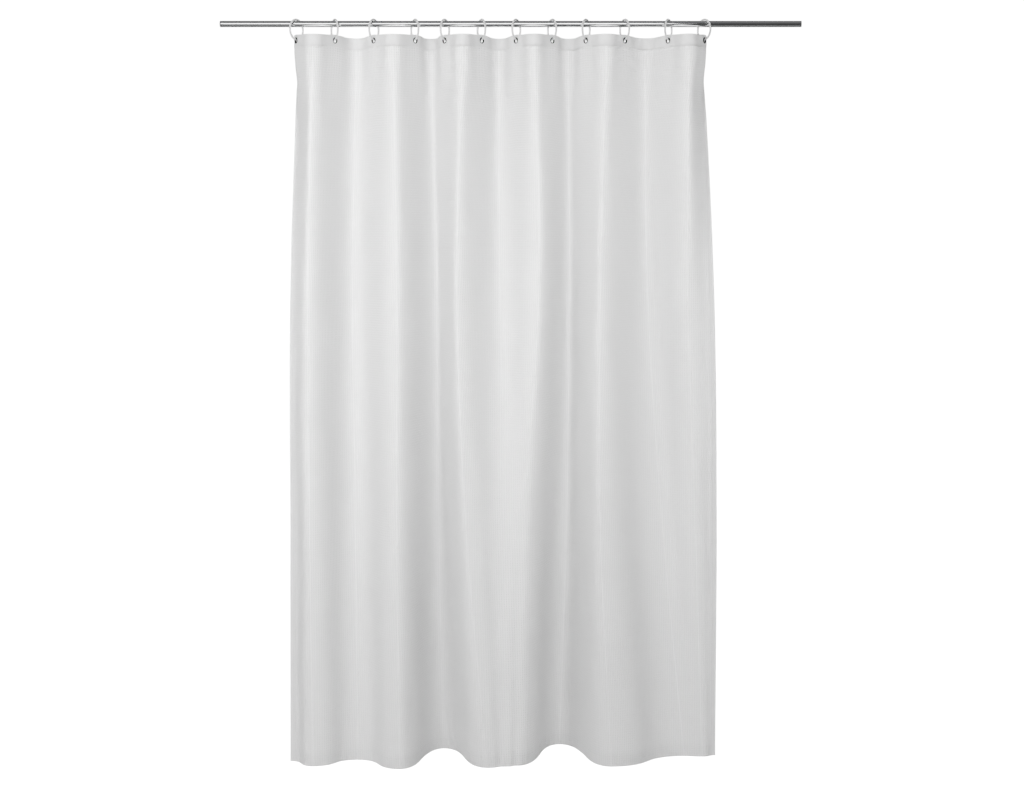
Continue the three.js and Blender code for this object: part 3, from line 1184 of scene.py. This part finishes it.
@dataclass
class Panel:
    """The waffle cloth below the header, with a doubled hem at its foot and narrow hems at its sides."""

    folds: Folds
    seam: float
    tuck: float = 5.0 * MM
    thick: float = 1.0 * MM
    hem: float = 28.0 * MM
    side_hem: float = 12.0 * MM
    doubled: float = 0.8 * MM
    step: float = 4.0 * MM
    columns: int = 421
    rows: int = 106

    def thickness(self, across: Array, down: Array) -> Array:
        """The cloth's thickness, more where its edges are turned over."""
        from_foot = self.folds.height - down
        from_side = np.minimum(across, self.folds.width - across)
        foot = 1.0 - ease((from_foot - self.hem) / self.step)
        side = 1.0 - ease((from_side - self.side_hem) / self.step)
        return self.thick + self.doubled * np.maximum(foot, side)

    def build(self) -> bpy.types.Object:
        """Builds the panel.

        Returns:
            The panel, in its waffle cloth.
        """
        folds = self.folds
        start = self.seam - self.tuck
        foot = np.array([self.hem, self.hem / 2.0, 2.0 * MM, 0.0])
        inner = np.linspace(0.0, 1.0, self.rows - len(foot))
        rows = start + (folds.height - self.hem - 6.0 * MM - start) * inner
        rows = np.concatenate([rows, folds.height - foot])
        columns = np.linspace(0.0, folds.width, self.columns)
        down, across = np.meshgrid(rows, columns, indexing="ij")
        half = self.thickness(across, down) / 2.0
        flat = np.stack([across, down], axis=-1)
        shell = slab(folds.place(across, down, half), folds.place(across, down, -half), flat)
        panel = shell.build("curtain_panel_cloth", CLOTH_SHARP_DEGREES)
        away, press = folds.lines(columns, rows)
        for name, values in (("line_distance", away), ("line_press", press)):
            attribute = panel.data.attributes.new(name, "FLOAT", "POINT")
            attribute.data.foreach_set("value", np.concatenate([values.ravel()] * 2).astype(np.float32))
        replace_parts(panel, "curtain_panel")
        return dress(panel, Cloth(Weave.WAFFLE).material(), "curtain")


@dataclass
class Header:
    """The doubled strip along the top edge, with a round hole for each eyelet."""

    folds: Folds
    height: float = 30.0 * MM
    thick: float = 1.6 * MM
    edge: float = 0.5 * MM
    hole: float = 5.8 * MM
    cells_margin: int = 16
    cells_pitch: int = 48
    rows: int = 10
    hole_cells: int = 2
    moves: tuple = (1.0, 0.75, 0.3)

    def open_holes(self, across: Array, down: Array) -> tuple:
        """Moves the grid's points round each hole from a square onto a circle.

        The square ring of points at the hole's edge moves onto the circle, the next two rings move part of
        the way, and the others stay.

        Args:
            across: lengths across, shape (rows + 1, columns + 1).
            down: lengths down, in the same shape.

        Returns:
            The moved lengths and the cells that are kept.
        """
        columns = across.shape[1] - 1
        row, column = np.meshgrid(np.arange(self.rows + 1), np.arange(columns + 1), indexing="ij")
        last = len(self.folds.eyelets) - 1
        eyelet = np.clip(np.rint((column - self.cells_margin) / self.cells_pitch), 0, last)
        a = column - (self.cells_margin + self.cells_pitch * eyelet)
        b = row - self.rows // 2
        ring = np.maximum(np.abs(a), np.abs(b))
        centre_across = self.folds.margin + self.folds.pitch * eyelet
        dx, dy = across - centre_across, down - self.height / 2.0
        far = np.maximum(np.hypot(dx, dy), 1e-9)
        step = self.hole / self.hole_cells
        wanted = self.hole + (ring - self.hole_cells) * step * 1.1
        moved = [ring == self.hole_cells + further for further in range(len(self.moves))]
        amount = np.select(moved, self.moves, 0.0)
        scale = 1.0 + (wanted / far - 1.0) * amount
        cut = np.maximum(np.abs(a[:-1, :-1] + 0.5), np.abs(b[:-1, :-1] + 0.5)) < self.hole_cells
        return centre_across + dx * scale, self.height / 2.0 + dy * scale, ~cut

    def build(self) -> bpy.types.Object:
        """Builds the header.

        Returns:
            The header, in its plain cloth.
        """
        columns = 2 * self.cells_margin + self.cells_pitch * (len(self.folds.eyelets) - 1)
        lines_down = np.linspace(0.0, self.height, self.rows + 1)
        lines_across = np.linspace(0.0, self.folds.width, columns + 1)
        down, across = np.meshgrid(lines_down, lines_across, indexing="ij")
        across, down, kept = self.open_holes(across, down)
        from_edge = np.minimum(down, self.height - down)
        thick = self.thick - self.edge * (1.0 - ease(from_edge / (3.0 * MM)))
        flat = np.stack([across, down], axis=-1)
        place = self.folds.place
        shell = slab(place(across, down, thick / 2.0), place(across, down, -thick / 2.0), flat, kept)
        header = shell.build("header_band_cloth", CLOTH_SHARP_DEGREES)
        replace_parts(header, "header_band")
        return dress(header, Cloth(Weave.PLAIN, white=0.82).material(), "curtain")


class Run(Enum):
    """Which way a row of stitches runs on the flat cloth."""

    ACROSS = (1.0, 0.0)
    DOWN = (0.0, 1.0)


@dataclass(frozen=True)
class Seam:
    """A straight row of stitches on the flat cloth, and the thickness of the cloth under it."""

    name: str
    start: tuple
    end: tuple
    thick: float
    slot: str = "waffle_cloth"

    @property
    def run(self) -> Run:
        """The way that it runs."""
        return Run.ACROSS if self.start[1] == self.end[1] else Run.DOWN


@dataclass
class Sewing:
    """Rows of lockstitch, seen on both faces of the cloth."""

    folds: Folds
    pitch: float = 3.2 * MM
    length: float = 2.5 * MM
    radius: float = 0.3 * MM
    sunk: float = 0.55
    sides: int = 5

    def stitches(self, seam: Seam) -> Shell:
        """All the stitches of a seam on both faces.

        A stitch is a short thread whose ends dip into the cloth: its radius and its height above the cloth
        follow the square root of a parabola along it.

        Args:
            seam: the seam.

        Returns:
            The shell of all its stitches.
        """
        start, end = np.array(seam.start), np.array(seam.end)
        total = np.linalg.norm(end - start)
        count = int(total // self.pitch)
        middle = start + (end - start) * ((np.arange(count) + 0.5) / count)[:, None]
        along = np.array([-0.5, -0.3, 0.3, 0.5])
        swell = np.sqrt(np.clip(1.0 - (2.0 * along) ** 2, 0.12, None))
        turn = np.arange(self.sides) * (2.0 * np.pi / self.sides)
        shells, faces = [], []
        for face in (1.0, -1.0):
            spine = middle[:, None, :] + (along * self.length)[None, :, None] * np.array(seam.run.value)
            radius = self.radius * swell[None, :, None]
            wide = radius * np.cos(turn)
            across_way = np.array(seam.run.value)[::-1]
            flat = spine[:, :, None, :] + wide[..., None] * across_way
            spine_height = seam.thick / 2.0 + self.radius * (swell[None, :, None] - self.sunk)
            height = face * (spine_height + radius * np.sin(turn))
            shells.append(self.folds.place(flat[..., 0], flat[..., 1], height))
            inward = (face > 0.0) == (seam.run is Run.ACROSS)
            behind = (face < 0.0) * count * len(along) * self.sides
            faces.append(self.stitch_faces(count, len(along), inward) + behind)
        quads = np.concatenate(faces)
        caps = self.cap_faces(shells, count, len(along), seam.run)
        return Shell(np.concatenate([s.reshape(-1, 3) for s in shells]), quads.tolist() + caps)

    def stitch_faces(self, count: int, sections: int, flip: bool) -> Array:
        """The side quads of many stitches that follow each other in memory."""
        one = grid_faces(sections, self.sides, False, True)
        if flip:
            one = one[:, ::-1]
        return (one[None] + (np.arange(count) * sections * self.sides)[:, None, None]).reshape(-1, 4)

    def cap_faces(self, shells: Sequence[Array], count: int, sections: int, run: Run) -> list:
        """The end faces of many stitches, one polygon each."""
        caps = []
        for index in range(len(shells)):
            base = (np.arange(count) + index * count)[:, None] * sections * self.sides
            first = base + np.arange(self.sides)
            last = base + (sections - 1) * self.sides + np.arange(self.sides)
            inward = (index == 0) == (run is Run.ACROSS)
            caps += (first if inward else first[:, ::-1]).tolist()
            caps += (last[:, ::-1] if inward else last).tolist()
        return caps

    def build(self, seam: Seam, material: bpy.types.Material) -> bpy.types.Object:
        """Builds a seam's thread.

        Args:
            seam: the seam.
            material: the thread's finish.

        Returns:
            The thread.
        """
        piece = self.stitches(seam).build(seam.name)
        return dress(piece, material, "curtain")


@dataclass
class Curtain:
    """The whole cloth: its panel, its header and its sewing."""

    folds: Folds
    header_height: float
    hem_stitch: float = 25.5 * MM
    side_stitch: float = 10.0 * MM
    seam_rise: float = 2.2 * MM

    def build(self) -> list:
        """Builds the pieces of the cloth and gives each its own mesh.

        Returns:
            The pieces.
        """
        folds = self.folds
        header = Header(folds, height=self.header_height)
        panel = Panel(folds, seam=header.height)
        pieces = [panel.build(), header.build()]

        thread = Thread().material()
        sewing = Sewing(folds)
        width, height = folds.width, folds.height
        doubled = panel.thick + panel.doubled
        seam, foot = header.height - self.seam_rise, height - self.hem_stitch
        left, right = self.side_stitch, width - self.side_stitch
        inset = 2.0 * MM
        upper, lower = header.height + inset, height - inset
        seams = (
            Seam("header_seam_thread", (inset, seam), (width - inset, seam), header.thick, "header_cloth"),
            Seam("hem_thread", (inset, foot), (width - inset, foot), doubled),
            Seam("left_hem_thread", (left, upper), (left, lower), doubled),
            Seam("right_hem_thread", (right, upper), (right, lower), doubled),
        )
        pieces += [sewing.build(seam, thread) for seam in seams]

        self.draw_together(pieces)
        return pieces

    def draw_together(self, pieces: Sequence[bpy.types.Object]) -> None:
        """Gives each piece of the cloth its own copy of its mesh.

        Args:
            pieces: the pieces of the cloth.
        """
        for piece in pieces:
            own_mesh(piece)


# ---------------------------------------------------------------- the studio


@dataclass(frozen=True)
class Lamp:
    """A rectangular soft light that the camera doesn't see.

    It stands at place, points at target, and has a size (width, height) in metres and a power in watts.
    Mirrored says whether it shows in bright metal, lighting whether it lights dull surfaces.
    """

    name: str
    place: tuple
    target: tuple
    size: tuple
    power: float
    mirrored: bool = False
    lighting: bool = True

    def build(self) -> None:
        """Adds the light to the scene."""
        data = bpy.data.lights.new(self.name, "AREA")
        data.shape = "RECTANGLE"
        data.size, data.size_y = self.size
        data.energy = self.power
        lamp = bpy.data.objects.new(self.name, data)
        lamp.location = self.place
        way = np.array(self.target) - np.array(self.place)
        flat = math.hypot(way[0], way[1])
        lamp.rotation_euler = (math.atan2(flat, -way[2]), 0.0, math.atan2(way[1], way[0]) - math.pi / 2.0)
        lamp.visible_camera = False
        lamp.visible_glossy = self.mirrored
        lamp.visible_diffuse = self.lighting
        bpy.context.scene.collection.objects.link(lamp)


@dataclass
class Studio:
    """A white room: a floor and a sky that the camera sees as white, six soft lights, and the camera.

    The sky's light grows from sky_low near the ground to sky_high near the top. The film is the picture's
    response: pairs of light and the shown value.
    """

    floor_drop: float = 0.16
    floor_size: float = 60.0
    floor_shades: tuple = (0.34, 0.36)
    sky_heights: tuple = (-0.8, 0.9)
    sky_low: float = 0.04
    sky_high: float = 0.34
    camera_place: tuple = (0.0032, -4.9, -0.57)
    camera_pitch: float = 4.095
    lens: float = 68.37
    white_level: float = 2.0
    film: tuple = ((0.1, 0.06), (0.25, 0.24), (0.5, 0.5), (1.0, 0.73), (1.4, 0.865))
    lamps: tuple = (
        Lamp("front", (-0.65, -3.0, 0.2), (-0.65, 0.0, 0.0), (3.5, 1.3), 40.0),
        Lamp("gloss", (-0.65, -3.0, 0.3), (-0.65, 0.0, 0.3), (3.5, 2.0), 60.0, mirrored=True, lighting=False),
        Lamp("key", (-1.7, -2.0, -0.3), (-0.2, 0.0, -0.5), (1.0, 1.0), 21.0),
        Lamp("near", (-0.5, -1.3, -0.55), (-0.5, 0.0, -0.55), (2.0, 0.5), 7.0),
        Lamp("side", (2.4, -1.0, -0.4), (0.4, 0.0, -0.6), (1.0, 1.6), 9.0),
        Lamp("back", (-0.2, 1.8, -0.2), (-0.2, 0.0, -0.45), (3.0, 1.2), 95.0),
    )

    def add_camera(self) -> None:
        """Places the camera and makes it the scene's."""
        data = bpy.data.cameras.new("camera")
        data.lens = self.lens
        data.sensor_width = 36.0
        data.clip_end = 200.0
        camera = bpy.data.objects.new("camera", data)
        camera.location = self.camera_place
        camera.rotation_euler = (math.radians(90.0 - self.camera_pitch), 0.0, 0.0)
        bpy.context.scene.collection.objects.link(camera)
        bpy.context.scene.camera = camera

    def add_floor(self) -> None:
        """Lays a large floor under the hem: mid grey to the light that falls on it, white to the camera."""
        z = CAD_BOX[0][2] - self.floor_drop
        half = self.floor_size / 2.0
        grid = np.linspace(-half, half, 3)
        y, x = np.meshgrid(grid[::-1], grid, indexing="ij")
        points = np.stack([x, y, np.full_like(x, z)], axis=-1)
        faces = grid_faces(len(grid), len(grid), False, False).tolist()
        floor = Shell(points, faces).build("floor")
        nodes = Nodes("floor")
        place = nodes.add("ShaderNodeTexCoord").outputs["Object"]
        seen = nodes.add("ShaderNodeLightPath").outputs["Is Camera Ray"]
        dark, light = self.floor_shades
        shade = nodes.blend(nodes.noise(place, 0.4), grey(dark), grey(light))
        floor.data.materials.append(nodes.finish({
            "Base Color": shade,
            "Roughness": 0.9,
            "Emission Color": grey(1.0),
            "Emission Strength": nodes.sum("MULTIPLY", seen, self.white_level),
        }))

    def add_sky(self) -> None:
        """Surrounds the room with a sky that is plain white to the camera and lights less from below."""
        world = bpy.data.worlds.new("sky")
        bpy.context.scene.world = world
        world.use_nodes = True
        tree = world.node_tree
        tree.nodes.clear()
        output = tree.nodes.new("ShaderNodeOutputWorld")
        mix = tree.nodes.new("ShaderNodeMixShader")
        path = tree.nodes.new("ShaderNodeLightPath")
        seen, light = tree.nodes.new("ShaderNodeBackground"), tree.nodes.new("ShaderNodeBackground")
        seen.inputs["Color"].default_value = grey(1.0)
        seen.inputs["Strength"].default_value = self.white_level * 1.05
        coordinate = tree.nodes.new("ShaderNodeTexCoord")
        split = tree.nodes.new("ShaderNodeSeparateXYZ")
        ramp = tree.nodes.new("ShaderNodeMapRange")
        for index, value in enumerate((*self.sky_heights, self.sky_low, self.sky_high), 1):
            ramp.inputs[index].default_value = value
        light.inputs["Color"].default_value = grey(1.0)
        tree.links.new(coordinate.outputs["Generated"], split.inputs[0])
        tree.links.new(split.outputs[2], ramp.inputs[0])
        tree.links.new(ramp.outputs[0], light.inputs["Strength"])
        tree.links.new(path.outputs["Is Camera Ray"], mix.inputs[0])
        tree.links.new(light.outputs[0], mix.inputs[1])
        tree.links.new(seen.outputs[0], mix.inputs[2])
        tree.links.new(mix.outputs[0], output.inputs[0])

    def set_film(self) -> None:
        """Gives the picture a film's response: a short toe, and a long shoulder that keeps white soft."""
        view = bpy.context.scene.view_settings
        view.view_transform = "Standard"
        view.use_curve_mapping = True
        mapping = view.curve_mapping
        mapping.white_level = (self.white_level,) * 3
        curve = mapping.curves[3]
        for light, shown in self.film:
            curve.points.new(light / self.white_level, shown)
        mapping.update()

    def build(self) -> None:
        """Builds the room."""
        self.add_camera()
        self.add_floor()
        self.add_sky()
        for lamp in self.lamps:
            lamp.build()
        self.set_film()


def hang_folds() -> tuple:
    """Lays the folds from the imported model's header and rings.

    Returns:
        The folds and the header's height.
    """
    rings = [middle_of(f"ring_{number:02d}")[0] for number in range(1, RING_COUNT + 1)]
    low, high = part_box("header_band")
    return Folds(eyelets=np.array(rings), top=high[2]), high[2] - low[2]


def main() -> None:
    """Builds the room, the rod, the rings with their eyelets, and the curtain."""
    logging.basicConfig(level=logging.INFO, format="%(name)s: %(message)s")
    Studio().build()
    Rod().build()
    folds, header_height = hang_folds()
    ring_finish = Plastic("ring_plastic", 0.78, 0.7, 0.3, coat=0.2).material()
    metal = Grommet().material()
    for number in range(1, RING_COUNT + 1):
        Ring(number).build(ring_finish)
        Eyelet(number).build(folds.eyelet_axis(number), metal)
    Curtain(folds, header_height).build()


if __name__ == "__main__":
    main()
